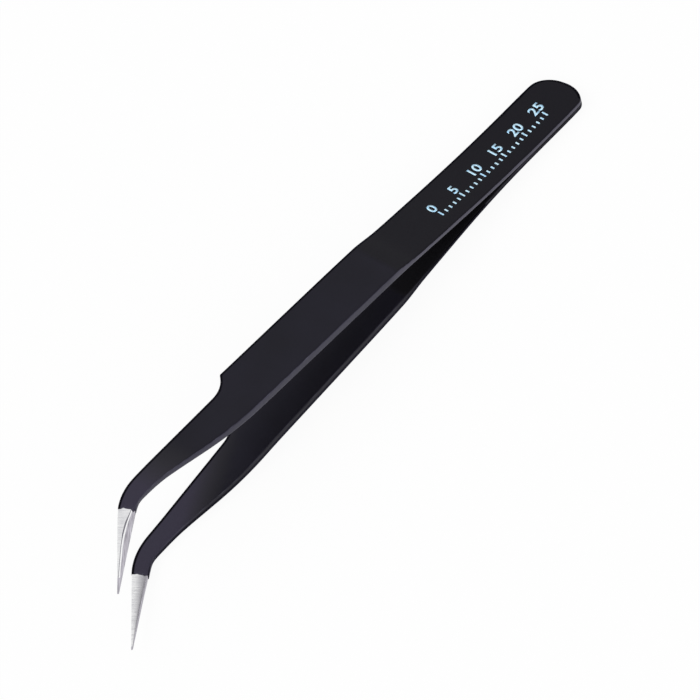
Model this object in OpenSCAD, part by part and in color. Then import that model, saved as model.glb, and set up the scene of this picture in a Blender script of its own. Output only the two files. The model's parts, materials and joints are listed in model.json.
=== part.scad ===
// Curved fine-point tweezers: two ground steel blades, spot-welded at the tail,
// each dipped in a black conductive coating that leaves the bent points bare.
//
// Every blade is a loft. A section runs straight across the blade from a point on its far
// edge to a point on its near edge, and the two edges are plan outlines of straight lines and
// arcs. The height of the section follows the bends of the strip, and its thickness follows
// the grinding. Lengths are measured from the tail end (x = 0) along the tool, y runs from the
// far edge to the near edge, to which the points bend, and z = 0 is the plane between the blades.

/* [Lengths along the tool] */
// Tail where the two blades lie face to face and are welded
weld_len = 12; // [9:0.5:16]
// Stretch over which each blade curves away from the other
bow_len = 19; // [17:0.5:26]
// Thin straight spring leaf after the curve
leaf_len = 10; // [6:0.5:16]
// Ground ramp from the thin leaf up to the full thickness
ramp_len = 4.3; // [2.5:0.1:8]
// Grip, from the ramp to the shoulder
grip_len = 32.2; // [24:0.1:44]
// Nose, from the shoulder to the elbow
nose_len = 27.8; // [25:0.1:36]
// Bent point, from the elbow to the very tip
point_len = 18.5; // [17.5:0.1:22]
// Length of the tail's rounded corner on the far side
tail_round_far = 3.7; // [1:0.1:4.5]
// Length of the tail's rounded corner on the near side
tail_round_near = 2.3; // [1:0.1:4.5]

/* [Widths] */
// Full width of the steel blade, at the tail and the grip
blade_w = 8.85; // [7.5:0.05:10.5]
// Step down of the far edge at the shoulder
shoulder_depth = 2.4; // [1:0.05:2.8]
// Radius of the concave cut below the shoulder
shoulder_r = 6.1; // [3.2:0.1:8]
// Width across the elbow, square to the tool
elbow_w = 3.17; // [2.4:0.01:3.8]
// How far the middle of the elbow lies to the near side
elbow_shift = 0.6; // [0:0.01:1]
// Width of the very tip
tip_w = 0.28; // [0.2:0.02:0.6]

/* [Thicknesses] */
// Steel at the tail
tail_t = 0.64; // [0.4:0.02:0.8]
// Steel at the end of the spring leaf
leaf_t = 0.68; // [0.4:0.02:0.8]
// Steel at the top of the ramp
crest_t = 1.2; // [0.9:0.02:1.8]
// Length after the ramp over which the steel reaches the grip's thickness
crest_run = 6; // [3:0.5:10]
// Steel at the grip
grip_t = 1.3; // [1:0.02:1.8]
// Steel at the elbow
elbow_t = 0.86; // [0.6:0.02:1]
// Where the steel starts to thin, after the shoulder
thin_start = 2.7; // [1:0.1:6]
// Steel at the very tip
tip_t = 0.25; // [0.16:0.01:0.5]
// Rounding of the long edges of the steel
edge_r = 0.12; // [0.05:0.01:0.2]

/* [Bends] */
// Slope of the spring leaf away from the middle plane, in degrees
leaf_angle = 6.2; // [4.5:0.1:7]
// Slope of the grip, in degrees
grip_angle = 2.9; // [1.5:0.1:4]
// Slope of the nose, in degrees
nose_angle = 5.6; // [4:0.1:7]
// Slope of the bent point, in degrees
point_angle = 0; // [-1:0.1:2]
// Length of the bend that starts the nose
nose_bend = 8; // [5:0.5:12]
// How much of that bend lies before the shoulder
nose_lead = 3.2; // [1:0.1:4.5]
// Length of the bend that levels the nose out before the elbow
elbow_bend = 9; // [6:0.5:12]
// Turn of the points to the near side, seen from above, in degrees
point_turn = 35.4; // [20:0.1:50]

/* [Plan radii] */
// Radius of the far edge round the elbow
elbow_outer_r = 12; // [6:0.5:20]
// Radius of the near edge in the crook of the elbow
elbow_inner_r = 4; // [1:0.5:8]
// Radius of the near edge where it starts to narrow
taper_start_r = 60; // [20:1:90]
// Radius of the near edge where the narrowing ends
taper_end_r = 34; // [15:1:36]
// Where the near edge starts to narrow, after the shoulder
taper_start = 8; // [5:0.1:10]
// Where the narrowing ends, before the elbow
taper_end = 6.6; // [4:0.1:9]

/* [Ground points] */
// Share of the point's width that the near bevel takes at the very tip
near_bevel = 0.6; // [0.2:0.02:0.64]
// Share of the bent point over which the near bevel opens, from the elbow
bevel_run = 0.45; // [0.2:0.01:0.8]
// Share of the point's width that the far bevel takes at the very tip
far_bevel = 0.18; // [0.1:0.02:0.34]
// Share of the point's thickness that the bevels take
bevel_depth = 0.55; // [0.3:0.01:0.6]
// Share of the point's width that the small bevel of the inner face takes at the very tip
inner_bevel = 0.2; // [0.1:0.02:0.4]
// Share of the point's thickness that the small inner bevel takes
inner_depth = 0.3; // [0.1:0.01:0.35]

/* [Coating] */
// Thickness of the baked coating
coat_t = 0.08; // [0.05:0.01:0.15]
// Bare steel from the upper tip back to the coating
bare_upper = 16.4; // [13:0.1:16.5]
// Bare steel from the lower tip back to the coating
bare_lower = 14.8; // [13:0.1:16.5]

/* [Welds and flexure] */
// Diameter of a spot weld's nugget
nugget_d = 3; // [2:0.1:4]
// How deep a nugget reaches into each blade
nugget_depth = 0.2; // [0.1:0.01:0.3]
// Distance from the tail end to the first nugget
nugget_start = 4.2; // [3.2:0.1:5]
// Distance between the nuggets
nugget_pitch = 4.4; // [4.2:0.1:6]
// Distance from the weld's end to the line on which a blade flexes
flex_from_weld = 14; // [10:0.5:16]

/* [Hidden] */

steel = [0.74, 0.75, 0.77];
weld_steel = [0.6, 0.6, 0.62];
coat_black = [0.14, 0.14, 0.16];

// Places along the tool, from the tail end
bow_end = weld_len + bow_len;
ramp_start = bow_end + leaf_len;
ramp_end = ramp_start + ramp_len;
shoulder_x = ramp_end + grip_len;
elbow_x = shoulder_x + nose_len;
tip_x = elbow_x + point_len * cos(point_turn);
tip_y = elbow_shift + point_len * sin(point_turn);
flex_x = weld_len + flex_from_weld;

// The nose bend starts a little before the shoulder, and the elbow bend ends just past the elbow
nose_bend_start = shoulder_x - nose_lead;
elbow_settle = 1;
elbow_bend_end = elbow_x + elbow_settle;
ramp_settle = 0.7;

// The slopes go on for a little past both ends, for surfaces that stand outside the steel
past_end = 1;

half_w = blade_w / 2;

// The bent strip is mitred at the elbow, so its far corner lies further on than its near one
mitre = elbow_w / 2 * tan(point_turn / 2);
elbow_far_y = elbow_shift - elbow_w / 2;
elbow_near_y = elbow_shift + elbow_w / 2;

// Plan outlines: corners as [x, y, radius], joined by straight lines
shoulder_run = sqrt(2 * shoulder_r * shoulder_depth - shoulder_depth * shoulder_depth);
shoulder_foot = [shoulder_x + shoulder_run, shoulder_depth - half_w];
FAR_NOSE = [
    [shoulder_foot.x, shoulder_foot.y, 0],
    [elbow_x + mitre, elbow_far_y, elbow_outer_r],
    [tip_x + tip_w / 2 * sin(point_turn), tip_y - tip_w / 2 * cos(point_turn), 0]
];
NEAR_NOSE = [
    [shoulder_x - nose_bend, half_w, 0],
    [shoulder_x + taper_start, half_w, taper_start_r],
    [elbow_x - taper_end, elbow_near_y, taper_end_r],
    [elbow_x - mitre, elbow_near_y, elbow_inner_r],
    [tip_x - tip_w / 2 * sin(point_turn), tip_y + tip_w / 2 * cos(point_turn), 0]
];

// Slope of a blade's inner face along the tool, as rise over run
SLOPES = [
    [-past_end, 0],
    [weld_len, 0],
    [bow_end, tan(leaf_angle)],
    [ramp_start, tan(leaf_angle)],
    [ramp_end + ramp_settle, tan(grip_angle)],
    [nose_bend_start, tan(grip_angle)],
    [nose_bend_start + nose_bend, tan(nose_angle)],
    [elbow_bend_end - elbow_bend, tan(nose_angle)],
    [elbow_bend_end, tan(point_angle)],
    [tip_x + past_end, tan(point_angle)]
];

// Thickness of the steel along the tool
THICKNESSES = [
    [0, tail_t],
    [weld_len, tail_t],
    [ramp_start, leaf_t],
    [ramp_end, crest_t],
    [ramp_end + crest_run, grip_t],
    [shoulder_x + thin_start, grip_t],
    [elbow_x, elbow_t],
    [tip_x, tip_t]
];

function sum(v) = v * [for (value = v) 1];
function side(v) = [-v.y, v.x];
function unit(v) = v / norm(v);
function mix(a, b, share) = a + (b - a) * share;

// Points after a, up to and including b
function steps(a, b, count) = [for (i = [1 : count]) mix(a, b, i / count)];

// How far the inner face has left the middle plane at x
function rise(x) = sum([
    for (i = [0 : len(SLOPES) - 2])
        let (a = SLOPES[i].x, b = min(x, SLOPES[i + 1].x))
        if (b > a) (b - a) * (lookup(a, SLOPES) + lookup(b, SLOPES)) / 2
]);
function inner_z(x) = rise(x) + coat_t;
function outer_z(x) = inner_z(x) + lookup(x, THICKNESSES);

// Height of a corner's arc at x, or undef where x is off the arc. The arc is held to half
// of the shorter line that meets the corner.
function arc_y(before, corner, after, x) =
    let (
        p = [corner.x, corner.y],
        to = p - [before.x, before.y],
        from = [after.x, after.y] - p,
        turn = asin(cross(unit(to), unit(from))),
        reach = min(corner.z * tan(abs(turn) / 2), min(norm(to), norm(from)) / 2),
        r = reach / max(tan(abs(turn) / 2), 0.0001),
        start = p - reach * unit(to),
        end = p + reach * unit(from),
        centre = start + sign(turn) * r * side(unit(to))
    )
    x <= start.x || x >= end.x || reach <= 0 ? undef
        : centre.y - sign(turn) * sqrt(r * r - pow(x - centre.x, 2));

// Height of a cornered outline at x
function outline_y(corners, x) =
    let (
        arcs = [
            for (i = [1 : len(corners) - 2])
                let (y = arc_y(corners[i - 1], corners[i], corners[i + 1], x))
                if (!is_undef(y)) y
        ]
    )
    len(arcs) > 0 ? arcs[0] : lookup(x, [for (c = corners) [c.x, c.y]]);

// The two plan edges of a blade
function far_y(x) =
    x <= shoulder_x ? -half_w
        : x < shoulder_foot.x
            ? shoulder_foot.y - shoulder_r + sqrt(pow(shoulder_r, 2) - pow(x - shoulder_foot.x, 2))
            : outline_y(FAR_NOSE, x);
function near_y(x) = x <= shoulder_x - nose_bend ? half_w : outline_y(NEAR_NOSE, x);

// A station is a line across the blade: its far and near end, the way out at each end, and how
// much the section is lower there on each face. Most stations are given by the x of their two
// ends.
function across(xs) =
    let (
        f = [xs[0], far_y(xs[0])],
        n = [xs[1], near_y(xs[1])],
        u = unit(n - f)
    )
    [f, n, -u, u, 0];

// One corner of the tail is a quarter of an ellipse. The end of the tail lies a little to the
// near side, where the corner is squarer. The first section is lower, which rounds the end as
// the long edges are rounded.
TAIL_END_Y = 0.75;
function corner_point(run, reach, angle) = [run * (1 - cos(angle)), TAIL_END_Y + reach * sin(angle)];
function corner_out(run, reach, angle) = unit([-abs(reach) * cos(angle), sign(reach) * run * sin(angle)]);
FIRST_ANGLE = 6;
ROUND_STEPS = 6;
TAIL_ROUND = [
    for (i = [0 : ROUND_STEPS])
        let (
            angle = mix(FIRST_ANGLE, 90, i / ROUND_STEPS),
            far_reach = -half_w - TAIL_END_Y,
            near_reach = half_w - TAIL_END_Y
        )
        [
            corner_point(tail_round_far, far_reach, angle),
            corner_point(tail_round_near, near_reach, angle),
            corner_out(tail_round_far, far_reach, angle),
            corner_out(tail_round_near, near_reach, angle),
            i == 0 ? edge_r : 0
        ]
];
TAIL = concat(TAIL_ROUND, [
    for (xs = concat(
        steps([tail_round_far, tail_round_near], [weld_len, weld_len], 2),
        steps([weld_len, weld_len], [flex_x, flex_x], 5)
    )) across(xs)
]);

// The stations turn with the bent point, from a little before the elbow
turn_lead = 1;
turn_start = elbow_x - taper_end - turn_lead;
ARM_BODY = [
    for (x = concat(
        [flex_x],
        steps(flex_x, bow_end, 2),
        steps(bow_end, ramp_start, 2),
        steps(ramp_start, ramp_end, 3),
        [ramp_end + ramp_settle, ramp_end + crest_run],
        steps(ramp_end + crest_run, nose_bend_start, 2),
        steps(nose_bend_start, shoulder_x, 2),
        steps(shoulder_x, shoulder_foot.x, 6),
        steps(shoulder_foot.x, turn_start, 7)
    )) across([x, x])
];
TURN_STEPS = 11;
POINT_STEPS = 7;

// Ends of a station on the bent point, a given distance back from the tip
function point_ends(back) =
    let (
        x = tip_x - back * cos(point_turn),
        half = mix(tip_w, elbow_w * cos(point_turn), back / point_len) / 2
    )
    [x + half * sin(point_turn), x - half * sin(point_turn)];

// The arm as far as the edge of the coating, and the bare rest of it
function arm_coated(bare) = concat(
    ARM_BODY,
    [for (xs = steps([turn_start, turn_start], point_ends(bare), TURN_STEPS)) across(xs)]
);
function arm_bare(bare) = [for (back = steps(bare, 0, POINT_STEPS)) across(point_ends(back))];

// How far the grinding of the point has gone at x: 0 at the elbow and 1 at the tip
function ground(x) = max(0, min(1, (x - elbow_x) / (tip_x - elbow_x)));

// A rounded corner takes at most this share of the thickness and of the width
corner_limit = 0.25;

// Corners of a section as [across, up, flatness], in the order inner far, inner near, outer
// near, outer far. The near bevel opens quickly and then stays, so that its ridge runs from
// the near edge to the middle of the point.
function corners(x, w, t, out) =
    let (
        r = min(edge_r, corner_limit * t, corner_limit * w) + out,
        g = ground(x),
        fast = min(1, g / bevel_run),
        depth = bevel_depth * t
    )
    [
        [r, r, 0],
        [mix(r, inner_bevel * w, g), mix(r, inner_depth * t, g), g],
        [mix(r, near_bevel * w, fast), mix(r, depth, fast), fast],
        [mix(r, far_bevel * w, g), mix(r, depth, g), g]
    ];

// Share of a corner that its middle point stands back: round corners bulge, ground ones don't
function bulge(flatness) = mix(1 - cos(45), 0.5, flatness);

// The ring of points round a section, which starts at the inner far corner. The surface may
// stand outside the steel.
function ring(station, out) =
    let (
        x = (station[0].x + station[1].x) / 2,
        f = station[0] + out * station[2],
        n = station[1] + out * station[3],
        u = unit(n - f),
        w = norm(n - f),
        low = inner_z(x) + station[4] - out,
        high = outer_z(x) - station[4] + out,
        c = corners(x, w - 2 * out, high - low - 2 * out, out)
    )
    [
        for (k = [0 : 3])
            let (
                near = k == 1 || k == 2,
                top = k > 1,
                base = near ? n : f,
                inward = near ? -u : u,
                level = top ? high : low,
                down = top ? -1 : 1,
                m = bulge(c[k][2]),
                wall = [base.x, base.y, level + down * c[k][1]],
                middle = concat(base + inward * c[k][0] * m, level + down * c[k][1] * m),
                face = concat(base + inward * c[k][0], level)
            )
            each (k % 2 == 0 ? [wall, middle, face] : [face, middle, wall])
    ];
RING = 12;

function rings(stations, out) = [for (s = stations) each ring(s, out)];

// Faces between neighbouring rings, from point number first. Turned over, they line a hollow.
function wall_faces(count, first, inside = false) = [
    for (i = [0 : count - 2])
        for (j = [0 : RING - 1])
            let (
                a = first + i * RING + j,
                b = first + i * RING + (j + 1) % RING,
                c = b + RING,
                d = a + RING
            )
            each (inside ? [[a, c, d], [a, b, c]] : [[a, d, c], [a, c, b]])
];
function cap_face(first, flip) = [for (j = [0 : RING - 1]) first + (flip ? RING - 1 - j : j)];

// The flat rim between an outer ring and an inner one
function rim_faces(outer, inner, flip) = [
    for (j = [0 : RING - 1])
        let (
            a = outer + j,
            b = outer + (j + 1) % RING,
            c = inner + (j + 1) % RING,
            d = inner + j
        )
        each (flip ? [[a, c, b], [a, d, c]] : [[a, b, c], [a, c, d]])
];

// A solid blade through the stations
module loft(stations) {
    count = len(stations);
    polyhedron(
        points = rings(stations, 0),
        faces = concat(
            [cap_face(0, false)],
            wall_faces(count, 0),
            [cap_face((count - 1) * RING, true)]
        )
    );
}

// A coating between the steel's surface and one that stands coat_t outside it. Both of its
// ends are open, or the tail end is closed.
module skin(stations, closed_tail) {
    count = len(stations);
    inner = count * RING;
    polyhedron(
        points = concat(rings(stations, coat_t), rings(stations, 0)),
        faces = concat(
            wall_faces(count, 0),
            wall_faces(count, inner, true),
            closed_tail
                ? [cap_face(0, false), cap_face(inner, true)]
                : rim_faces(0, inner, false),
            rim_faces(inner - RING, 2 * inner - RING, true)
        )
    );
}

// How the tool rests: it lies on the tail's edge, where the rounding of the end begins, and on
// the outer face of the lower nose
function skin_z(x) = outer_z(x) + coat_t;
heel = TAIL_ROUND[1];
heel_x = min(heel[0].x + coat_t * heel[2].x, heel[1].x + coat_t * heel[3].x);
rest_tilt = max([
    for (s = arm_coated(bare_lower))
        let (x = (s[0].x + s[1].x) / 2)
        atan((skin_z(x) - skin_z(0)) / (x - heel_x))
]);
rest_height = skin_z(0) * cos(rest_tilt) - heel_x * sin(rest_tilt);
middle_x = (tip_x * cos(rest_tilt) + inner_z(tip_x) * sin(rest_tilt)) / 2;
middle_y = (tip_y + tip_w / 2 - half_w - coat_t) / 2;

// Sets the tool down, with the points towards -X and bent towards -Y
module at_rest() {
    rotate([0, 0, 180])
        translate([-middle_x, -middle_y, rest_height])
            rotate([0, -rest_tilt, 0])
                children();
}

// The lower blade mirrors the upper one
module lower() {
    mirror([0, 0, 1]) children();
}

nugget_reach = coat_t + nugget_depth;
module nuggets() {
    for (i = [0 : 1])
        translate([nugget_start + i * nugget_pitch, 0, -nugget_reach])
            cylinder(h = 2 * nugget_reach, d = nugget_d, $fn = 48);
}

module blade_tail() {
    difference() {
        loft(TAIL);
        nuggets();
    }
}

module tail_coating() {
    difference() {
        skin(TAIL, true);
        nuggets();
    }
}

module blade_arm(bare) {
    loft(concat(arm_coated(bare), arm_bare(bare)));
}

module arm_coating(bare) {
    skin(arm_coated(bare), false);
}

module upper_blade_tail() {
    color(steel) at_rest() blade_tail();
}

module lower_blade_tail() {
    color(steel) at_rest() lower() blade_tail();
}

module weld_nuggets() {
    color(weld_steel) at_rest() nuggets();
}

module upper_tail_coating() {
    color(coat_black) at_rest() tail_coating();
}

module lower_tail_coating() {
    color(coat_black) at_rest() lower() tail_coating();
}

module upper_blade_arm() {
    color(steel) at_rest() blade_arm(bare_upper);
}

module lower_blade_arm() {
    color(steel) at_rest() lower() blade_arm(bare_lower);
}

module upper_arm_coating() {
    color(coat_black) at_rest() arm_coating(bare_upper);
}

module lower_arm_coating() {
    color(coat_black) at_rest() lower() arm_coating(bare_lower);
}

upper_blade_tail();
lower_blade_tail();
weld_nuggets();
upper_tail_coating();
lower_tail_coating();
upper_blade_arm();
lower_blade_arm();
upper_arm_coating();
lower_arm_coating();
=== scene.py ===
# %% [markdown]
# # Curved tweezers
# Fine-point tweezers for small electronic parts. Two steel blades are welded together at the
# tail, and a black conductive coating is baked on them. It stops short of the bent points.
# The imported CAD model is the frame: every piece here sits where its solid sits, in metres. A
# solid that looks right could stay. Only the hidden weld does, because soft bends, ground edges
# and a ragged coating need more surface than the solids have.

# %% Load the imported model
import json
import math

import bpy
from mathutils import Matrix, Vector
from mathutils.kdtree import KDTree

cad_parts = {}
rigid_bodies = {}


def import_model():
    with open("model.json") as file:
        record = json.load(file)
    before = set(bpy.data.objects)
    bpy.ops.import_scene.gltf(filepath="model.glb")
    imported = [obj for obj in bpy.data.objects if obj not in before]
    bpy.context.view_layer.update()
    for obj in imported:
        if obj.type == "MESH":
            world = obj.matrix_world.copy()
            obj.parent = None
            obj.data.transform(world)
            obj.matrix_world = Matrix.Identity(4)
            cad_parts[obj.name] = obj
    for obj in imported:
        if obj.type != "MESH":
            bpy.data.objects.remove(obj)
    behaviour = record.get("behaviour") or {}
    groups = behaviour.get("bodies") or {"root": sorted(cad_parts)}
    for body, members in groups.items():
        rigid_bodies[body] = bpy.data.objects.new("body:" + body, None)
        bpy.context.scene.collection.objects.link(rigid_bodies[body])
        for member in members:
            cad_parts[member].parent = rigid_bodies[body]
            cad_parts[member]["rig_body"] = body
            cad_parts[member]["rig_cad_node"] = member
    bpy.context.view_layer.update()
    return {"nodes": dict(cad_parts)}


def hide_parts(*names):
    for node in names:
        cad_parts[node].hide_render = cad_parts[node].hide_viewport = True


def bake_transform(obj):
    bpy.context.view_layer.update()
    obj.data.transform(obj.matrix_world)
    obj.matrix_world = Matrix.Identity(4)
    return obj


MM = 0.001

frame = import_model()

# %% [markdown]
# The tool lies tilted on the floor, because its blades are wider apart at the shoulder than at
# the tail. Its own measure is easier to think in: x from the tail end to the tips, y from the
# far edge to the near one, z up from the plane between the blades, all in millimetres. An empty
# could carry that measure as its matrix. Three short functions do the same, and show how.

# %% The tool's own measure
# How far it tilts, how high the middle of its tail end lies, and which x and y of it lie over
# the middle of the frame. The CAD source works out the same numbers.
TILT = math.radians(3.84652)
REST_HEIGHT = 0.794126
MIDDLE = (60.2736, 3.47585)


def tool_point(place):
    """A place in the row frame, as the tool's own x, y and z."""
    x = MIDDLE[0] - place.x / MM
    z = place.z / MM - REST_HEIGHT
    along = x * math.cos(TILT) + z * math.sin(TILT)
    up = z * math.cos(TILT) - x * math.sin(TILT)
    return Vector((along, MIDDLE[1] - place.y / MM, up))


def row_point(x, y, z):
    """A place in the tool's own measure, in the row frame."""
    along = x * math.cos(TILT) - z * math.sin(TILT)
    up = x * math.sin(TILT) + z * math.cos(TILT) + REST_HEIGHT
    return Vector((MIDDLE[0] - along, MIDDLE[1] - y, up)) * MM


def row_way(x, y, z):
    """A direction in the tool's own measure, in the row frame."""
    return (row_point(x, y, z) - row_point(0, 0, 0)).normalized()


print("tail end, mm:", [round(v / MM, 2) for v in row_point(0, 0, 0)])

# %% [markdown]
# ## The camera
# The photograph looks down on the tool from the side of its bent points, from far away, so that
# parallel edges stay parallel. An orthographic camera would do nearly the same. A long lens some
# metres away keeps the trace of depth that every real picture has. The three directions are the
# camera's own axes: right, up and back towards the viewer.

# %% Place the camera
PICTURE_MIDDLE = row_point(59.56, 5.735, -0.04)
RIGHT = row_way(-0.6336, 0.7582, -0.1541)
UP = row_way(-0.6442, -0.4066, 0.6479)
BACK = RIGHT.cross(UP).normalized()
LENS = 1650
SENSOR = 36
PICTURE_PIXELS = 700
PIXELS_PER_MM = 6.519
DISTANCE = LENS / SENSOR * PICTURE_PIXELS / PIXELS_PER_MM * MM

bpy.ops.object.select_all(action="DESELECT")
bpy.ops.object.camera_add()
camera = bpy.context.object
camera.name = "camera"
turn = Matrix((RIGHT, BACK.cross(RIGHT), BACK)).transposed()
camera.matrix_world = Matrix.Translation(PICTURE_MIDDLE + DISTANCE * BACK) @ turn.to_4x4()
camera.data.sensor_width = SENSOR
camera.data.lens = LENS
bpy.context.scene.camera = camera
print("camera distance, m:", round(DISTANCE, 2))

# %% [markdown]
# ## Small helpers for materials
# Colours are written as sRGB hex values, as a paint program shows them. Shaders work in linear
# light, so one function turns them. Another adds a node, gives it its settings and links it.

# %% Colours and nodes
def colour(code):
    """An sRGB hex value as linear red, green, blue and alpha."""
    values = [int(code[i:i + 2], 16) / 255 for i in (1, 3, 5)]
    return [v / 12.92 if v <= 0.04045 else ((v + 0.055) / 1.055) ** 2.4 for v in values] + [1.0]


def add_node(tree, kind, inputs=None, **settings):
    """Adds a node. Each input is a value, or another node's output to link from."""
    node = tree.nodes.new(kind)
    for name, value in settings.items():
        setattr(node, name, value)
    for name, value in (inputs or {}).items():
        if isinstance(value, bpy.types.NodeSocket):
            tree.links.new(value, node.inputs[name])
        else:
            node.inputs[name].default_value = value
    return node


def new_material(name):
    """An empty material with its shader, and the Object coordinates that patterns follow."""
    material = bpy.data.materials.new(name)
    material.use_nodes = True
    tree = material.node_tree
    tree.nodes.clear()
    shader = add_node(tree, "ShaderNodeBsdfPrincipled")
    add_node(tree, "ShaderNodeOutputMaterial", {"Surface": shader.outputs["BSDF"]})
    place = add_node(tree, "ShaderNodeTexCoord").outputs["Object"]
    return material, tree, shader, place


print("a mid grey in linear light:", [round(v, 3) for v in colour("#808080")])

# %% [markdown]
# No real finish is even. A painted image could hold the unevenness, but it would need to be
# laid out on each piece. Noise in Object coordinates fits every piece at once, and its grain
# can be given in millimetres. Three helpers say how a finish wanders: in what size of grain,
# between which two shades, and between which two roughnesses.

# %% Uneven finishes
NOISE_LOW = 0.3
NOISE_HIGH = 0.7
print("most of a noise lies from", NOISE_LOW, "to", NOISE_HIGH)


def pattern(tree, place, size_mm, detail=2.0, turn_z=0.0):
    """Noise whose grains are about size_mm long in x, y and z, after a turn about z."""
    fitted = add_node(tree, "ShaderNodeMapping", {
        "Vector": place,
        "Rotation": (0, 0, turn_z),
        "Scale": [s * MM for s in size_mm],
    }, vector_type="TEXTURE")
    noise = add_node(tree, "ShaderNodeTexNoise", {
        "Vector": fitted.outputs["Vector"], "Scale": 1.0, "Detail": detail,
    })
    return noise.outputs["Fac"]


def two_shades(tree, value, first, second, start=NOISE_LOW, end=NOISE_HIGH):
    """The first colour where a value is at start or before, and the second from end on."""
    share = add_node(tree, "ShaderNodeMapRange", {
        "Value": value, "From Min": start, "From Max": end,
    })
    # A Mix node has sockets of three kinds under the same names: 6, 7 and 2 are its colours
    mix = add_node(tree, "ShaderNodeMix", {
        "Factor": share.outputs["Result"], 6: first, 7: second,
    }, data_type="RGBA")
    return mix.outputs[2]


def uneven_gloss(tree, shader, noise, low, high):
    """The roughness of a finish wanders from low to high with a noise."""
    roughness = add_node(tree, "ShaderNodeMapRange", {
        "Value": noise, "From Min": NOISE_LOW, "From Max": NOISE_HIGH,
        "To Min": low, "To Max": high,
    })
    tree.links.new(roughness.outputs["Result"], shader.inputs["Roughness"])


# %% [markdown]
# ## The coating's finish
# Conductive coatings are epoxy powders filled with carbon, baked on. They dry black with a
# satin gloss and a faint ripple, called orange peel. The ripple is about a millimetre across,
# and a finer grain makes the gloss slightly uneven. Both only turn the light a little, so they
# are bump and roughness. The colour itself changes from place to place: at scuffs, which on the
# corners are also a painted highlight, along the corners, where a dark line is painted shade,
# and towards the elbow, where it turns lighter, on the lower blade as painted light. The mesh
# will hold each of these as an attribute, a value at every point, which the material reads by
# its name. That way they follow the shape.

# %% Where the coating is rubbed, and its corners get a painted highlight
def scuffed(tree, place, coated, rubbed):
    """The coated colour with scuffs of the rubbed one, where an attribute says. Along the corners
    they are also a painted highlight.
    """
    rub_and_highlight = add_node(tree, "ShaderNodeAttribute", attribute_name="rub_and_highlight")
    # Real scuffs are hair-thin. They are drawn about 0.3 mm across.
    scuff = add_node(tree, "ShaderNodeMapRange", {
        "Value": pattern(tree, place, (3, 0.3, 0.3), detail=4),
        "From Min": 0.45, "From Max": 0.75,
    })
    both = add_node(tree, "ShaderNodeMath", {
        0: rub_and_highlight.outputs["Fac"], 1: scuff.outputs["Result"],
    }, operation="MULTIPLY")
    return two_shades(tree, both.outputs["Value"], coated, rubbed, 0, 1)


# %% Where the coating changes along the tool
def change_along(tree, place, first_x, last_x, drift_mm, before, after):
    """One colour up to first_x along the tool and another from last_x on. The border drifts."""
    along = add_node(tree, "ShaderNodeSeparateXYZ", {"Vector": place})
    drift = add_node(tree, "ShaderNodeMapRange", {
        "Value": pattern(tree, place, (7, 7, 7)), "From Min": NOISE_LOW, "From Max": NOISE_HIGH,
        "To Min": -drift_mm * MM, "To Max": drift_mm * MM,
    })
    border = add_node(tree, "ShaderNodeMath", {
        0: along.outputs["X"], 1: drift.outputs["Result"],
    }, operation="ADD")
    start = row_point(first_x, 0, 0).x
    end = row_point(last_x, 0, 0).x
    return two_shades(tree, border.outputs["Value"], before, after, start, end)


# %% Black conductive epoxy, baked
coat, tree, shader, place = new_material("black_conductive_epoxy")
cloud = pattern(tree, place, (9, 9, 9))
ripple = pattern(tree, place, (0.9, 0.9, 0.9))
# The real grain is about 0.05 mm, too fine to show. It is drawn at 0.22 mm.
grain = pattern(tree, place, (0.22, 0.22, 0.22), detail=3)
tone = two_shades(tree, cloud, colour("#121118"), colour("#17161F"))
# The tail and the leaf, the thinner part that is ground up to 45.3 mm from the tail end, are
# darker as painted shade
tail_and_leaf_painted_shade = change_along(tree, place, 44.7, 45.7, 0.1, colour("#08070C"), tone)
# Towards the elbow it turns greyer and a little violet. On the lower blade this is painted
# light, which starts sooner where the upper blade shades it less
elbow_tint_and_painted_light = add_node(tree, "ShaderNodeAttribute", attribute_name="elbow_tint_and_painted_light").outputs["Fac"]
elbow_tint_colour = two_shades(tree, elbow_tint_and_painted_light, colour("#33332F"), colour("#363242"), 0, 1)
elbow_tinted = two_shades(tree, elbow_tint_and_painted_light, tail_and_leaf_painted_shade, elbow_tint_colour, 0, 1)
worn = scuffed(tree, place, elbow_tinted, colour("#454450"))
# A dark line about 0.3 mm wide along some corners is painted shade. Metallic is set to 1
# there, which with the dark colour takes the epoxy's own gloss away.
from_painted_shade_corner = add_node(tree, "ShaderNodeAttribute", attribute_name="from_painted_shade_corner").outputs["Fac"]
line = add_node(tree, "ShaderNodeMapRange", {
    "Value": from_painted_shade_corner, "From Min": 0.25, "From Max": 0.42, "To Min": 1, "To Max": 0,
}).outputs["Result"]
lined = two_shades(tree, line, worn, colour("#050407"), 0, 1)
tree.links.new(lined, shader.inputs["Base Color"])
tree.links.new(line, shader.inputs["Metallic"])
uneven_gloss(tree, shader, grain, 0.42, 0.56)
ripple_bump = add_node(tree, "ShaderNodeBump", {
    "Height": ripple, "Strength": 0.12, "Distance": 0.02 * MM,
})
grain_bump = add_node(tree, "ShaderNodeBump", {
    "Height": grain, "Strength": 0.15, "Distance": 0.006 * MM,
    "Normal": ripple_bump.outputs["Normal"],
})
tree.links.new(grain_bump.outputs["Normal"], shader.inputs["Normal"])
shader.inputs["IOR"].default_value = 1.5
shader.inputs["Specular IOR Level"].default_value = 0.14
shader.inputs["Specular Tint"].default_value = colour("#EDEBFF")
print("finish:", coat.name)

# %% [markdown]
# The narrow sides of the upper blade, where the fingers take hold, are worn smooth by use. The
# same coating is glossier there, and its colour is lighter as a painted highlight, so they read
# as crisp lighter strips beside the broad faces. One material could blend between the two. A
# second one is simpler, because the border is sharp.

# %% The coating on the ground sides, with a painted highlight
side_coat_painted_highlight, tree, shader, place = new_material("black_epoxy_sides_painted_highlight")
cloud = pattern(tree, place, (5, 5, 5))
grain = pattern(tree, place, (0.6, 0.22, 0.22), detail=3)
# Lighter than the coating on the broad faces, as a painted highlight
tone = two_shades(tree, cloud, colour("#1E1C29"), colour("#242231"))
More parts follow.
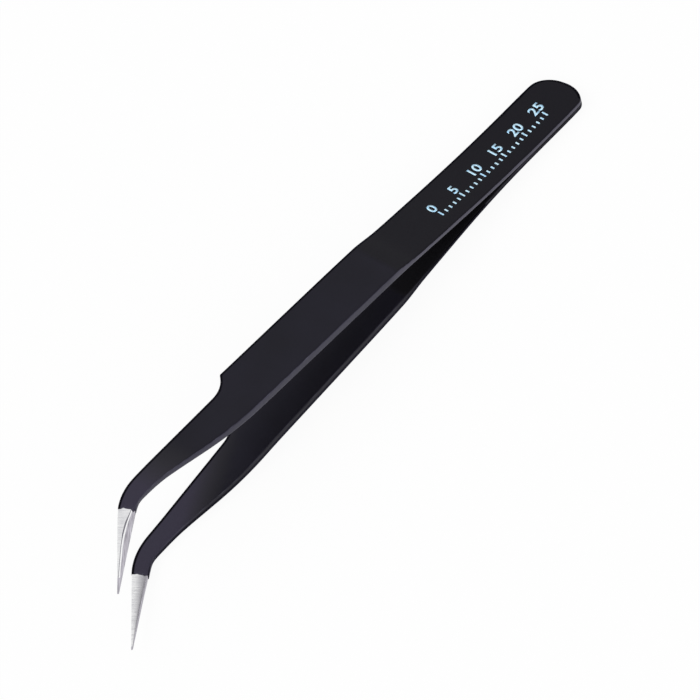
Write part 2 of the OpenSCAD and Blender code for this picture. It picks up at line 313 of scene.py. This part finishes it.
# The sides of the tail and the leaf get a still lighter painted highlight
polished_and_highlit = change_along(tree, place, 40, 48, 2, colour("#3E3C47"), tone)
worn = scuffed(tree, place, polished_and_highlit, colour("#5A5866"))
tree.links.new(worn, shader.inputs["Base Color"])
uneven_gloss(tree, shader, grain, 0.32, 0.44)
grain_bump = add_node(tree, "ShaderNodeBump", {
    "Height": grain, "Strength": 0.12, "Distance": 0.006 * MM,
})
tree.links.new(grain_bump.outputs["Normal"], shader.inputs["Normal"])
shader.inputs["IOR"].default_value = 1.5
shader.inputs["Specular IOR Level"].default_value = 0.4
shader.inputs["Specular Tint"].default_value = colour("#E6E3FF")
print("finish:", side_coat_painted_highlight.name)

# %% [markdown]
# ## The steel's finish
# The points are bare stainless steel. Their broad faces are brushed on a fine belt, and the
# marks run across the point. The bevels are ground by hand afterwards and look softer, because
# a coarser wheel scatters more light, and their colour is darker as a painted shade. The
# shader's anisotropy could stretch the highlights instead, but then no single mark would show.
# Here the marks are streaks of noise, turned by as much as the point is bent.

# %% Brushed stainless steel
POINT_TURN = math.radians(35.4)

steel, tree, shader, place = new_material("brushed_stainless_steel")
# Belt marks are about 0.03 mm apart, too fine to show. They are drawn 0.14 mm apart.
marks = pattern(tree, place, (0.14, 2.5, 2.5), detail=3, turn_z=POINT_TURN)
smudge = pattern(tree, place, (1.6, 1.6, 1.6))
clean = two_shades(tree, smudge, colour("#DADADC"), colour("#ECECEC"))
# Even the deepest mark comes only half way to the grey of its ground
depth = add_node(tree, "ShaderNodeMapRange", {
    "Value": marks, "From Min": 0.45, "From Max": 0.7, "To Max": 0.5,
})
scored = two_shades(tree, depth.outputs["Result"], clean, colour("#A8A8AE"), 0, 1)
# The inner faces are greyer towards their near edge, a painted shade
painted_shade_near_edge = add_node(tree, "ShaderNodeAttribute", attribute_name="painted_shade_near_edge").outputs["Fac"]
tone = two_shades(tree, painted_shade_near_edge, scored, colour("#97959B"), 0, 1)
tree.links.new(tone, shader.inputs["Base Color"])
uneven_gloss(tree, shader, marks, 0.24, 0.42)
mark_bump = add_node(tree, "ShaderNodeBump", {
    "Height": marks, "Strength": 0.35, "Distance": 0.006 * MM,
})
tree.links.new(mark_bump.outputs["Normal"], shader.inputs["Normal"])
shader.inputs["Metallic"].default_value = 1.0
print("finish:", steel.name)

# %% Ground stainless steel
ground, tree, shader, place = new_material("ground_steel_with_painted_shade")
# Wheel marks are about 0.05 mm apart and run along the point. They are drawn 0.16 mm apart.
marks = pattern(tree, place, (2.5, 0.16, 0.16), detail=3, turn_z=POINT_TURN)
# Darker than the brushed faces, as a painted shade
tone = two_shades(tree, marks, colour("#98959D"), colour("#CECBD3"))
tree.links.new(tone, shader.inputs["Base Color"])
uneven_gloss(tree, shader, marks, 0.34, 0.5)
mark_bump = add_node(tree, "ShaderNodeBump", {
    "Height": marks, "Strength": 0.3, "Distance": 0.006 * MM,
})
tree.links.new(mark_bump.outputs["Normal"], shader.inputs["Normal"])
shader.inputs["Metallic"].default_value = 1.0
print("finish:", ground.name)

# %% [markdown]
# Where two ground faces meet, the stone leaves a narrow ridge. One side of it is rubbed
# smooth and painted lighter, a painted highlight, and the strip on the other is painted dark, a
# painted shade. Such a ridge could be a line in the material. It will be a narrow bevel in the
# mesh, which catches the light from any side, so each of its strips needs a finish of its own.

# %% Rubbed steel ridge, with a painted highlight
bright, tree, shader, place = new_material("rubbed_steel_ridge_painted_highlight")
smudge = pattern(tree, place, (0.8, 0.8, 0.8))
# Lighter than the brushed steel, as a painted highlight
tone = two_shades(tree, smudge, colour("#EDEDEF"), colour("#FAFAFA"))
tree.links.new(tone, shader.inputs["Base Color"])
uneven_gloss(tree, shader, smudge, 0.12, 0.22)
shader.inputs["Metallic"].default_value = 1.0
print("finish:", bright.name)

# %% Dark ridge strip, a painted shade
ridge_shade, tree, shader, place = new_material("dark_ridge_line_painted_shade")
smudge = pattern(tree, place, (0.6, 0.6, 0.6))
# Dark beside the ridge's highlight, as a painted shade
tone = two_shades(tree, smudge, colour("#6E6C74"), colour("#85838B"))
tree.links.new(tone, shader.inputs["Base Color"])
uneven_gloss(tree, shader, smudge, 0.5, 0.6)
shader.inputs["Metallic"].default_value = 1.0
print("finish:", ridge_shade.name)

# %% [markdown]
# ## The print's finish
# The marks on the tail are pad-printed: a soft pad lays down a film of pale blue ink. It is
# matte, a little uneven, and only about a hundredth of a millimetre thick. It could be painted
# into the coating. As a film of its own it has real edges, so the ink needs only one finish.

# %% Pad-print ink
ink, tree, shader, place = new_material("pad_print_ink")
patch = pattern(tree, place, (0.5, 0.5, 0.5), detail=3)
tone = two_shades(tree, patch, colour("#A6DBFF"), colour("#D8F5FF"))
tree.links.new(tone, shader.inputs["Base Color"])
uneven_gloss(tree, shader, patch, 0.5, 0.7)
print("finish:", ink.name)

# %% [markdown]
# ## Blades and coatings from their solids
# A blade is one stamping, but the CAD model divides it where it flexes, because it moves rigid
# bodies. A blade could be drawn again from a strip. Copies of its two halves, joined, already
# have every bend in its place. The copies are loose triangles, so their doubled points are
# merged, the two cut faces are deleted, and the pairs of triangles become the quads that a
# subdivision surface likes.

# %% Helpers that select in code
def start_clean():
    """Back in object mode, with nothing selected."""
    if bpy.context.object and bpy.context.object.mode != "OBJECT":
        bpy.ops.object.mode_set(mode="OBJECT")
    bpy.ops.object.select_all(action="DESELECT")


def make_active(piece):
    """Only this piece is selected, and operators work on it."""
    start_clean()
    piece.select_set(True)
    bpy.context.view_layer.objects.active = piece


def select_parts(piece, kind, test):
    """Enters edit mode, with those parts of one kind selected that pass a test."""
    make_active(piece)
    mesh = piece.data
    for part in (*mesh.vertices, *mesh.edges, *mesh.polygons):
        part.select = False
    parts = {"VERT": mesh.vertices, "EDGE": mesh.edges, "FACE": mesh.polygons}
    chosen = [part for part in parts[kind] if test(part)]
    for part in chosen:
        part.select = True
    bpy.ops.object.mode_set(mode="EDIT")
    bpy.ops.mesh.select_mode(type=kind)
    return len(chosen)


# %% Join two halves into one piece
CUT_X = 26


def whole(name, *nodes):
    """One piece from copies of CAD nodes that meet at the cut."""
    start_clean()
    for node in nodes:
        copied = frame["nodes"][node].copy()
        copied.data = copied.data.copy()
        copied.parent = None
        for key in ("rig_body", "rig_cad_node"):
            del copied[key]
        bpy.context.scene.collection.objects.link(copied)
        copied.select_set(True)
        bpy.context.view_layer.objects.active = copied
    bpy.ops.object.join()
    piece = bpy.context.object
    piece.name = piece.data.name = name
    piece.data.materials.clear()
    bpy.ops.object.mode_set(mode="EDIT")
    bpy.ops.mesh.select_all(action="SELECT")
    bpy.ops.mesh.remove_doubles(threshold=0.002 * MM)
    bpy.ops.object.mode_set(mode="OBJECT")
    from_cut = [abs(tool_point(v.co).x - CUT_X) for v in piece.data.vertices]
    cut = select_parts(piece, "FACE", lambda f: all(from_cut[v] < 0.005 for v in f.vertices))
    bpy.ops.mesh.delete(type="FACE")
    bpy.ops.mesh.select_all(action="SELECT")
    bpy.ops.mesh.tris_convert_to_quads(
        face_threshold=math.radians(5), shape_threshold=math.radians(180),
    )
    bpy.ops.object.mode_set(mode="OBJECT")
    print(name, "faces:", len(piece.data.polygons), "cut faces removed:", cut)
    return piece


# %% [markdown]
# At the elbow the tool's middle line bends to the near side. Many steps below ask how far a
# place lies behind the tip, or to one side of that bent line.

# %% Places on the bent point
ELBOW = (105.3, 0.6)
POINT_LEN = 18.5


def to_tip(place):
    """How far a place in the tool's measure lies behind the tip, along the bent point."""
    run = (place.x - ELBOW[0]) * math.cos(POINT_TURN) + (place.y - ELBOW[1]) * math.sin(POINT_TURN)
    return POINT_LEN - run


def sideways(place):
    """How far a place lies to the near side of the tool's middle line, which bends at the elbow."""
    if place.x < ELBOW[0] - 1:
        return place.y
    return (place.y - ELBOW[1]) * math.cos(POINT_TURN) - (place.x - ELBOW[0]) * math.sin(POINT_TURN)


print("the elbow lies behind the tip, mm:", round(to_tip(Vector((*ELBOW, 0))), 2))

# %% [markdown]
# ## Smooth surfaces with a few firm edges
# A bevel could round the long edges, but the bends would stay faceted. Subdivision smooths the
# bends and rolls the edges over, as tumbled steel and its coating do. A few places have to stay
# firm and get a crease: the line where the grinding of the leaf ends, the corner at the
# shoulder, the ridges of the ground point, and both blunt ends.

# %% Edges that stay firm
RAMP_END = 45.3
SHOULDER_X = 77.5


def at_crest(a, b):
    """The line across the blade where the grinding of the leaf ends."""
    return max(abs(a.x - RAMP_END), abs(b.x - RAMP_END)) < 0.02 and abs(a.y - b.y) > 1


def at_shoulder(a, b):
    """The corner on the far side where the grip steps in to the neck."""
    return max(abs(a.x - SHOULDER_X), abs(b.x - SHOULDER_X)) < 0.15 and max(a.y, b.y) < -3.9


def at_tail_end(a, b):
    """The edges round the end of the tail."""
    return max(a.x, b.x) < 0.045


def at_tip(a, b):
    """The edges round the blunt end of the point."""
    return max(to_tip(a), to_tip(b)) < 0.02


def runs_along(a, b):
    """The long edges join two sections on one side of the middle line."""
    apart = math.hypot(a.x - b.x, a.y - b.y)
    return sideways(a) * sideways(b) > 0 and apart > 0.2


# %% Crease and subdivide
def crease_edges(piece, share, test):
    """Creases the edges whose two ends, in the tool's measure, pass a test."""
    where = [tool_point(v.co) for v in piece.data.vertices]
    count = select_parts(piece, "EDGE", lambda e: test(*(where[v] for v in e.vertices)))
    if count:
        bpy.ops.transform.edge_crease(value=share)
    bpy.ops.object.mode_set(mode="OBJECT")
    print(piece.name, test.__name__, "edges creased:", count)


def finish_surface(piece, levels, crisp):
    """Subdivides a piece, shades it smooth up to an angle, and keeps its broad faces flat."""
    make_active(piece)
    smoother = piece.modifiers.new("smoother", "SUBSURF")
    smoother.levels = smoother.render_levels = levels
    bpy.ops.object.modifier_apply(modifier=smoother.name)
    bpy.ops.object.shade_smooth_by_angle(angle=math.radians(crisp))
    flatter = piece.modifiers.new("flatter", "WEIGHTED_NORMAL")
    flatter.keep_sharp = True
    bpy.ops.object.modifier_apply(modifier=flatter.name)
    print(piece.name, "triangles:", sum(len(f.vertices) - 2 for f in piece.data.polygons))


def keep_values(piece, name, values):
    """Stores one value for each point, as an attribute that a material reads by its name."""
    attribute = piece.data.attributes.new(name, "FLOAT", "POINT")
    attribute.data.foreach_set("value", values)
    print(piece.name, name, "runs from", round(min(values), 2), "to", round(max(values), 2))


# %% [markdown]
# ## The blades
# Near the tip the steel is ground to a point: a broad face in the middle, a wide bevel on the
# near side and a small one on the far side. The faces get their finish before they are
# subdivided, while each is still one clear facet. The ridge between the broad face and the near
# bevel is given a narrow bevel of its own: a strip of painted shade and two strips that are
# rubbed bright, with a painted highlight.

# %% Facets of the point
OUT = row_way(0, 0, 1)
NEAR = row_way(-math.sin(POINT_TURN), math.cos(POINT_TURN), 0)
FACETED_LEN = POINT_LEN - 1.8
# The cosine of 9 degrees: a facet that leans less than that is one of the broad faces
BROAD = 0.988


def is_faceted(face):
    """Whether a face lies on the ground point, and not at the elbow or behind it."""
    return to_tip(tool_point(face.center)) < FACETED_LEN


def is_bevel(face):
    """A facet of the point that leans from the broad faces to the near side."""
    return is_faceted(face) and abs(face.normal.dot(OUT)) < BROAD and face.normal.dot(NEAR) > 0


def faces_by_edge(piece):
    """The faces that meet at each edge of a piece."""
    neighbours = {}
    for face in piece.data.polygons:
        for key in face.edge_keys:
            neighbours.setdefault(key, []).append(face)
    return neighbours


def ridge_test(piece, outward):
    """A test for the edges between the outer broad face and the near bevel."""
    neighbours = faces_by_edge(piece)

    def test(edge):
        pair = sorted(neighbours[edge.key], key=lambda f: f.normal.dot(outward))
        if len(pair) < 2 or not all(is_faceted(f) for f in pair):
            return False
        lean = pair[0].normal.dot(NEAR)
        return pair[1].normal.dot(outward) > BROAD and 0.03 < lean < 0.9
    return test


print("near side of the point:", [round(v, 2) for v in NEAR])

# %% Finishes of the point
# Their places in a blade's list of materials
BRUSHED, GROUND, BRIGHT, RIDGE_SHADE = range(4)
BLUNT_LEN = 0.3
END_LEN = 3


def mark_burr(piece):
    """The strip of the ridge that touches the brushed face is painted shade. The others stay
    bright.
    """
    pairs = [pair for pair in faces_by_edge(piece).values() if len(pair) == 2]
    for pair in pairs:
        first, second = sorted(pair, key=lambda f: f.material_index)
        if first.material_index == BRUSHED and second.material_index == BRIGHT:
            second.material_index = RIDGE_SHADE


def mark_end(piece, outward):
    """The end of the point gets the ground finish all over its outside, and the blunt tip all
    round, which makes it darker as painted shade.
    """
    count = 0
    for face in piece.data.polygons:
        behind = to_tip(tool_point(face.center))
        outside = face.normal.dot(outward) > 0.3
        if behind < BLUNT_LEN or (behind < END_LEN and outside):
            face.material_index = GROUND
            count += 1
    print(piece.name, "faces ground at the end:", count)


def mark_coarse(piece, outward):
    """An attribute for a painted shade, which rises to 1 at the near edge of the point's inner
    face, most narrowly at the tip."""
    values = []
    for point in piece.data.vertices:
        place = tool_point(point.co)
        behind = to_tip(place) / POINT_LEN
        half_width = 0.14 + 1.1 * behind
        across = 0.5 + 0.5 * sideways(place) / half_width
        start = 0.55 - 0.5 * behind
        inner = point.normal.dot(outward) < -0.5 and behind < 1
        values.append(max(0, min(1, (across - start) / (1 - start))) if inner else 0)
    keep_values(piece, "painted_shade_near_edge", values)


# %% The two blades
RIDGE_WIDTH = 0.14

blades = {}
for half, outward in (("upper", OUT), ("lower", -OUT)):
    blade = whole(half + "_blade", half + "_blade_tail", half + "_blade_arm")
    for finish in (steel, ground, bright, ridge_shade):
        blade.data.materials.append(finish)
    for face in blade.data.polygons:
        face.material_index = GROUND if is_bevel(face) else BRUSHED
    ridge = select_parts(blade, "EDGE", ridge_test(blade, outward))
    bpy.ops.mesh.bevel(offset=RIDGE_WIDTH * MM, segments=3, material=BRIGHT)
    bpy.ops.object.mode_set(mode="OBJECT")
    mark_burr(blade)
    print(half, "ridge edges:", ridge)
    crease_edges(blade, 1.0, at_shoulder)
    crease_edges(blade, 0.85, runs_along)
    crease_edges(blade, 1.0, at_tail_end)
    crease_edges(blade, 1.0, at_tip)
    finish_surface(blade, 2, crisp=24)
    mark_end(blade, outward)
    mark_coarse(blade, outward)
    blades[half] = blade

# %% [markdown]
# ## The coatings
# Each coating is a skin round its blade, about a twelfth of a millimetre thick, and open at the
# point. A Solidify modifier on the blade could grow it. Its solid already has that thickness,
# so it is made as the blade was, with softer creases, because a coat rounds what it covers.
# Then three attributes say where it is rubbed, with a painted highlight on its corners, where it
# turns lighter towards the elbow, on the lower blade as painted light, and where its corners
# carry a line of painted shade.

# %% Where fingers and trays wear it, and where its corners get a painted highlight
BARE = {"upper": 16.4, "lower": 14.8}
RIM_WIDTH = 0.7


def add_rub(piece, bare):
    """How much each point of a coating is rubbed at the rim, and along its corners, where the
    scuffs are also a painted highlight.
    """
    values = []
    for point in piece.data.vertices:
        lean = abs(point.normal.dot(OUT))
        place = tool_point(point.co)
        # Corners count as rubbed, partly for wear and partly as a painted highlight
        corner = 0.8 if 0.25 < lean < 0.9 and place.x > 0.3 else 0
        rim = max(0, 1 - abs(to_tip(place) - bare) / RIM_WIDTH)
        values.append(max(corner, rim))
    keep_values(piece, "rub_and_highlight", values)


print("the coating ends behind the tip, mm:", BARE)

# %% Where it turns lighter towards the elbow, partly as painted light
FAR = row_way(0, -1, 0)
STRONGEST_TINT = 0.85
# Painted light on the lower blade: a little on its shaded leaf, more on its near side
LEAF_PAINTED_LIGHT = 0.1
NEAR_SIDE_PAINTED_LIGHT = 0.3


def add_thinness(piece, half):
    """An attribute that rises towards the elbow, where the coating turns lighter. On the lower
    blade it is painted light: it starts sooner at the far edge, where the upper blade shades it
    less, and it also lifts the leaf, which lies in shade, and the near side."""
    values = []
    for point in piece.data.vertices:
        place = tool_point(point.co)
        least = 0
        if half == "upper":
            share = (place.x - 92) / 12
        else:
            share = (place.x - 81 - 2.2 * sideways(place)) / 14
            if place.x < RAMP_END:
                least = LEAF_PAINTED_LIGHT
            elif point.normal.dot(FAR) < -0.5:
                least = NEAR_SIDE_PAINTED_LIGHT
        values.append(max(least, min(STRONGEST_TINT, share)))
    keep_values(piece, "elbow_tint_and_painted_light", values)


# %% Where its corners carry a painted shade line
TAIL = row_way(-1, 0, 0)
# For each coating, the corners that get the painted shade line
PAINTED_SHADE_CORNERS = {"upper": (OUT + FAR, OUT + TAIL), "lower": (OUT + FAR, -OUT - FAR)}


def add_corner_distance(piece, ways, half):
    """An attribute: mm from the corners that face one of these ways, where a painted shade line
    lies. It grows more slowly on the lower blade's near side, where that line is wider, and it
    fills that side of the leaf."""
    points = piece.data.vertices
    corners = [p.co for p in points if any(p.normal.dot(way.normalized()) > 0.85 for way in ways)]
    lookup = KDTree(len(corners))
    for number, corner in enumerate(corners):
        lookup.insert(corner, number)
    lookup.balance()
    values = []
    for point in points:
        x = tool_point(point.co).x
        growth = 1
        if half == "lower" and x > 25 and point.normal.dot(FAR) < -0.3:
            growth = max(0.42, min(0.55, x / 75))
        values.append(growth * lookup.find(point.co)[2] / MM)
    keep_values(piece, "from_painted_shade_corner", values)


# %% The two coatings
coatings = {}
for half in ("upper", "lower"):
    coating = whole(half + "_coating", half + "_tail_coating", half + "_arm_coating")
    coating.data.materials.append(coat)
    coating.data.materials.append(side_coat_painted_highlight)
    crease_edges(coating, 0.6, at_crest)
    crease_edges(coating, 0.9, at_shoulder)
    crease_edges(coating, 0.7, runs_along)
    crease_edges(coating, 1.0, at_tail_end)
    finish_surface(coating, 2, crisp=50)
    for face in coating.data.polygons:
        is_side = abs(face.normal.dot(OUT)) < 0.4
        # The second finish, glossier and with a painted highlight, is only on the upper blade
        face.material_index = 1 if is_side and half == "upper" else 0
    add_rub(coating, BARE[half])
    add_thinness(coating, half)
    add_corner_distance(coating, PAINTED_SHADE_CORNERS[half], half)
    coatings[half] = coating

# %% [markdown]
# ## A slight bow
# A tool that was straightened by hand is never quite straight. The tail half of this one bows
# about a seventh of a millimetre to the far side. A lattice could bend it. A soft pull on one
# ring of points is enough for so little. Both blades are welded there, so the same pull goes on
# the blades and on their coatings.

# %% Bow the tail half
BOW = 0.15
BOW_X = 24
BOW_REACH = 20


def pull(way_mm, reach_mm, connected=False):
    """Moves what is selected, and the points around it less and less, up to a reach."""
    bpy.ops.transform.translate(
        value=way_mm * MM, use_proportional_edit=True, use_proportional_connected=connected,
        proportional_edit_falloff="SMOOTH", proportional_size=reach_mm * MM,
    )
    bpy.ops.object.mode_set(mode="OBJECT")


for piece in (*blades.values(), *coatings.values()):
    ring = select_parts(piece, "VERT", lambda v: abs(tool_point(v.co).x - BOW_X) < 1)
    pull(BOW * FAR, BOW_REACH)
    print(piece.name, "points in the pulled ring:", ring)

# %% [markdown]
# ## The coating's edge
# The points are masked before the powder goes on, and the mask leaves a slightly ragged line,
# with a small run at the near side where the coating gathered. A noise could move the rim, but
# it would be ragged all round alike. Here the rim is pulled at listed places, with soft
# selection: each pull takes the points near one place on the rim a little way along the point.

# %% Pull the rim
POINT_WAY = row_way(math.cos(POINT_TURN), math.sin(POINT_TURN), 0)
RIM_BAND = 0.14
HALF_THICK = 0.45
OUTER, EDGE, INNER = (1, 0, -1)
# Each pull: mm across the point, which face of it, mm along the point, and reach in mm
PULLS = {
    "upper": [
        (-1.0, OUTER, 0.18, 0.5), (-0.3, OUTER, -0.16, 0.45), (0.45, OUTER, 0.12, 0.4),
        (1.15, OUTER, 0.55, 0.5), (-0.6, INNER, 0.2, 0.5), (0.6, INNER, -0.15, 0.5),
        (1.35, EDGE, 0.5, 0.5),
    ],
    "lower": [
        (-1.1, OUTER, -0.15, 0.5), (-0.4, OUTER, 0.2, 0.45), (0.3, OUTER, -0.12, 0.4),
        (1.15, OUTER, 0.6, 0.5), (-0.5, INNER, -0.15, 0.5), (0.7, INNER, 0.2, 0.5),
        (1.35, EDGE, 0.45, 0.5),
    ],
}


def pull_rim(piece, bare, across, face, along, reach):
    """Pulls the point of the rim that lies nearest to a place across it, on one of its faces."""
    where = [tool_point(v.co) for v in piece.data.vertices]
    rim = [i for i, p in enumerate(where) if abs(to_tip(p) - bare) < RIM_BAND]
    middle = sum(abs(where[i].z) for i in rim) / len(rim)

    def distance(i):
        height = abs(where[i].z) - middle
        return math.hypot(sideways(where[i]) - across, height - HALF_THICK * face)

    chosen = min(rim, key=distance)
    select_parts(piece, "VERT", lambda v: v.index == chosen)
    pull(along * POINT_WAY, reach, connected=True)
    return sideways(where[chosen])


for half, pulls in PULLS.items():
    pulled = [pull_rim(coatings[half], BARE[half], *each) for each in pulls]
    print(half, "rim pulled at, mm across:", [round(across, 2) for across in pulled])

# %% [markdown]
# ## The weld
# Two small discs of melted steel join the blades inside the tail. Nothing shows them, so their
# solid stays as it is and only gets the steel's finish.

# %% The weld keeps its solid
weld = frame["nodes"]["weld_nuggets"]
weld.data.materials.clear()
weld.data.materials.append(steel)
print("weld nuggets:", len(weld.data.polygons), "triangles")

# %% [markdown]
# ## The print on the tail
# The tail carries a plain millimetre scale in pale blue. Numbers are text objects turned into
# meshes, and a tick is a small plate with rounded corners. Both are laid on the coating by a
# Shrinkwrap modifier, because the tail curves under them, and get the thickness of ink.

# %% Numbers and ticks
SCALE_START = 31.6
NUMBER_Y = 0.35
NUMBER_SIZE = 2.5
TICK_Y = 1.9
TICK_WIDTH = 0.27
LONG_TICK = 1.15
SHORT_TICK = 0.7


def place_flat(x, y):
    """A place just above the coating, for something that will be laid on it."""
    return row_point(x, y, 0) + Vector((0, 0, 4 * MM))


def add_number(value, x):
    """A number as a mesh, centred on x."""
    start_clean()
    bpy.ops.object.text_add()
    text = bpy.context.object
    text.data.body = str(value)
    text.data.size = NUMBER_SIZE * MM
    text.data.align_x = "CENTER"
    text.data.resolution_u = 6
    text.data.offset = 0.05 * MM
    bpy.ops.object.convert(target="MESH")
    number = bpy.context.object
    number.location = place_flat(x, NUMBER_Y)
    bpy.ops.object.transform_apply()
    return number


def add_tick(x, length):
    """One tick of the scale, a thin plate."""
    start_clean()
    bpy.ops.mesh.primitive_plane_add(size=MM, location=place_flat(x, TICK_Y))
    bpy.ops.object.mode_set(mode="EDIT")
    bpy.ops.transform.resize(value=(TICK_WIDTH, length, 1))
    bpy.ops.transform.translate(value=(0, length / 2 * MM, 0))
    bpy.ops.mesh.bevel(offset=0.05 * MM, segments=2, affect="VERTICES")
    bpy.ops.object.mode_set(mode="OBJECT")
    return bpy.context.object


prints = [add_number(5 * i, SCALE_START - 5 * i) for i in range(6)]
prints += [add_tick(SCALE_START - i, SHORT_TICK if i % 5 else LONG_TICK) for i in range(26)]
print("numbers and ticks:", len(prints))

# %% Lay the print on the coating
INK_THICK = 0.012

start_clean()
for mark in prints:
    mark.select_set(True)
bpy.context.view_layer.objects.active = prints[0]
bpy.ops.object.join()
scale_print = bpy.context.object
scale_print.name = scale_print.data.name = "scale_print"
bpy.ops.object.transform_apply()
wrap = scale_print.modifiers.new("wrap", "SHRINKWRAP")
wrap.target = coatings["upper"]
wrap.wrap_method = "PROJECT"
wrap.use_project_z = True
wrap.use_negative_direction = True
wrap.use_positive_direction = False
wrap.offset = 0.004 * MM
bpy.ops.object.modifier_apply(modifier=wrap.name)
film = scale_print.modifiers.new("film", "SOLIDIFY")
film.thickness = INK_THICK * MM
film.offset = 1
bpy.ops.object.modifier_apply(modifier=film.name)
scale_print.data.materials.clear()
scale_print.data.materials.append(ink)
print("print faces:", len(scale_print.data.polygons))

# %% [markdown]
# ## The joined pieces replace the halves
# The blades are springs. Squeezed, each bends along its thinner part, while the weld and the
# grip stay straight. A hinge would fold it in one line. Here each joined piece keeps its place
# in its own points, and the CAD halves that it replaces are hidden.

for half in ("upper", "lower"):
    for piece in (blades[half], coatings[half]):
        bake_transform(piece)
    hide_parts(half + "_blade_tail", half + "_blade_arm")
    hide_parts(half + "_tail_coating", half + "_arm_coating")
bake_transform(scale_print)

# %% [markdown]
# ## Floor and light
# The photograph has a white ground and soft light from all round. More light on a pale floor
# would whiten it, but also wash out the object. So the floor is pale, takes the object's
# shadow, and to the camera and in reflections it also glows a little, so that it reads as
# white. The world behind it does the same.

# %% White ground
FLOOR_GLOW = 0.93


def seen_directly(tree):
    """1 for rays from the camera and for reflected or refracted ones, and 0 for light."""
    path = add_node(tree, "ShaderNodeLightPath").outputs
    first = add_node(tree, "ShaderNodeMath", {
        0: path["Is Camera Ray"], 1: path["Is Glossy Ray"],
    }, operation="MAXIMUM")
    second = add_node(tree, "ShaderNodeMath", {
        0: first.outputs[0], 1: path["Is Transmission Ray"],
    }, operation="MAXIMUM")
    return second.outputs[0]


floor_paper = bpy.data.materials.new("white_paper_ground")
floor_paper.use_nodes = True
tree = floor_paper.node_tree
tree.nodes.clear()
paper = add_node(tree, "ShaderNodeBsdfDiffuse", {"Color": colour("#F2F2F2")})
glow = add_node(tree, "ShaderNodeEmission", {"Color": (1, 1, 1, 1), "Strength": 1.0})
share = add_node(tree, "ShaderNodeMath", {
    0: seen_directly(tree), 1: FLOOR_GLOW,
}, operation="MULTIPLY")
both = add_node(tree, "ShaderNodeMixShader", {
    0: share.outputs[0], 1: paper.outputs["BSDF"], 2: glow.outputs["Emission"],
})
add_node(tree, "ShaderNodeOutputMaterial", {"Surface": both.outputs["Shader"]})

start_clean()
bpy.ops.mesh.primitive_plane_add(size=40)
floor = bpy.context.object
floor.name = "floor"
floor.data.materials.append(floor_paper)
print("floor at z =", floor.location.z)

# %% Studio light
world = bpy.data.worlds.new("studio")
bpy.context.scene.world = world
world.use_nodes = True
tree = world.node_tree
tree.nodes.clear()
light = add_node(tree, "ShaderNodeBackground", {"Color": (1, 1, 1, 1), "Strength": 0.5})
white = add_node(tree, "ShaderNodeBackground", {"Color": (1, 1, 1, 1), "Strength": 1.0})
both = add_node(tree, "ShaderNodeMixShader", {
    0: seen_directly(tree), 1: light.outputs["Background"], 2: white.outputs["Background"],
})
add_node(tree, "ShaderNodeOutputWorld", {"Surface": both.outputs["Shader"]})


def add_soft_light(name, way, strength):
    """A lamp as wide as a large softbox. It shines from that way, evenly over the whole floor."""
    start_clean()
    bpy.ops.object.light_add(type="SUN", location=way)
    lamp = bpy.context.object
    lamp.name = name
    lamp.data.angle = math.radians(50)
    lamp.data.energy = strength
    lamp.rotation_euler = (-Vector(way)).to_track_quat("-Z", "Y").to_euler()


add_soft_light("key_light", (-0.8, -1.2, 0.6), 1.7)
add_soft_light("back_light", (-1.0, 0.7, 1.1), 1.4)

# %% [markdown]
# ## Picture settings
# The Standard view shows each colour as it was written. Filmic views are kinder to bright
# light, but they grey the blacks that this coating needs.

# %% Set the view
bpy.context.scene.view_settings.view_transform = "Standard"
